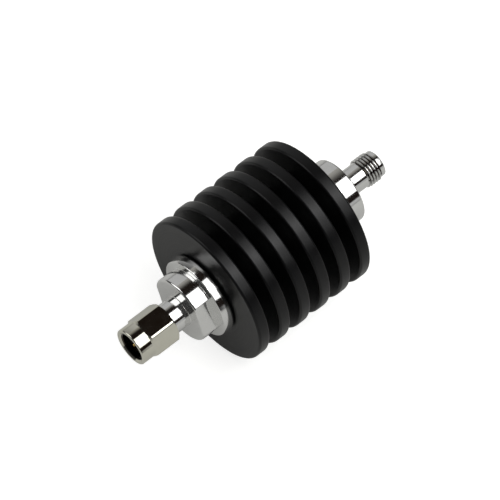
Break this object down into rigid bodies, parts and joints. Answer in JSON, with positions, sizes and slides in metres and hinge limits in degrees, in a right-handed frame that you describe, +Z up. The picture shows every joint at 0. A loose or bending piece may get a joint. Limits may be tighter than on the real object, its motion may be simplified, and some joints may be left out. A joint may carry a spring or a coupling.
{
  "type": "rf attenuator",
  "caption": "Finned coaxial RF attenuator: black turned heatsink with a coupling-nut plug on one end and a threaded jack on the other.",
  "frame": {"origin": "centre of the part's box in X and Y, on the floor under the fins (z = 0)", "axes": "+X along the part's own axis, from the plug's end to the jack's end; +Z up, the part lying on its fins; +Y across, completing the right hand"},
  "size_m": [0.0638, 0.032, 0.032],
  "materials": {
    "black_anodised_aluminium": "black anodised, satin",
    "polished_nickel_plate": "nickel plated, polished",
    "spring_steel": "bright drawn",
    "red_brown_silicone": "matt",
    "white_ptfe": "matt, slightly waxy",
    "gold_plate": "gold plated",
    "bare_aluminium": "machined",
    "zinc_plated_steel": "zinc plated",
    "white_ceramic": "matt",
    "indium_foil": "dull"
  },
  "bodies": {
    "body": {"heatsink": "black_anodised_aluminium", "plug_shell": "polished_nickel_plate", "jack_shell": "polished_nickel_plate", "nut_ring": "spring_steel", "plug_gasket": "red_brown_silicone", "plug_dielectric": "white_ptfe", "jack_dielectric": "white_ptfe", "plug_pin": "gold_plate", "jack_socket": "gold_plate", "input_tab": "gold_plate", "output_tab": "gold_plate", "carrier_lower": "bare_aluminium", "carrier_upper": "bare_aluminium", "carrier_screw_1": "zinc_plated_steel", "carrier_screw_2": "zinc_plated_steel", "carrier_screw_3": "zinc_plated_steel", "carrier_screw_4": "zinc_plated_steel", "attenuator_chip": "white_ceramic", "chip_pad": "indium_foil"},
    "nut": {"coupling_nut": "polished_nickel_plate"}
  },
  "joints": [
    {"name": "nut_spin", "type": "hinge", "parent": "body", "child": "nut", "pos_m": [-0.02303, 0, 0.01598], "axis": [1, 0, 0], "continuous": true}
  ]
}
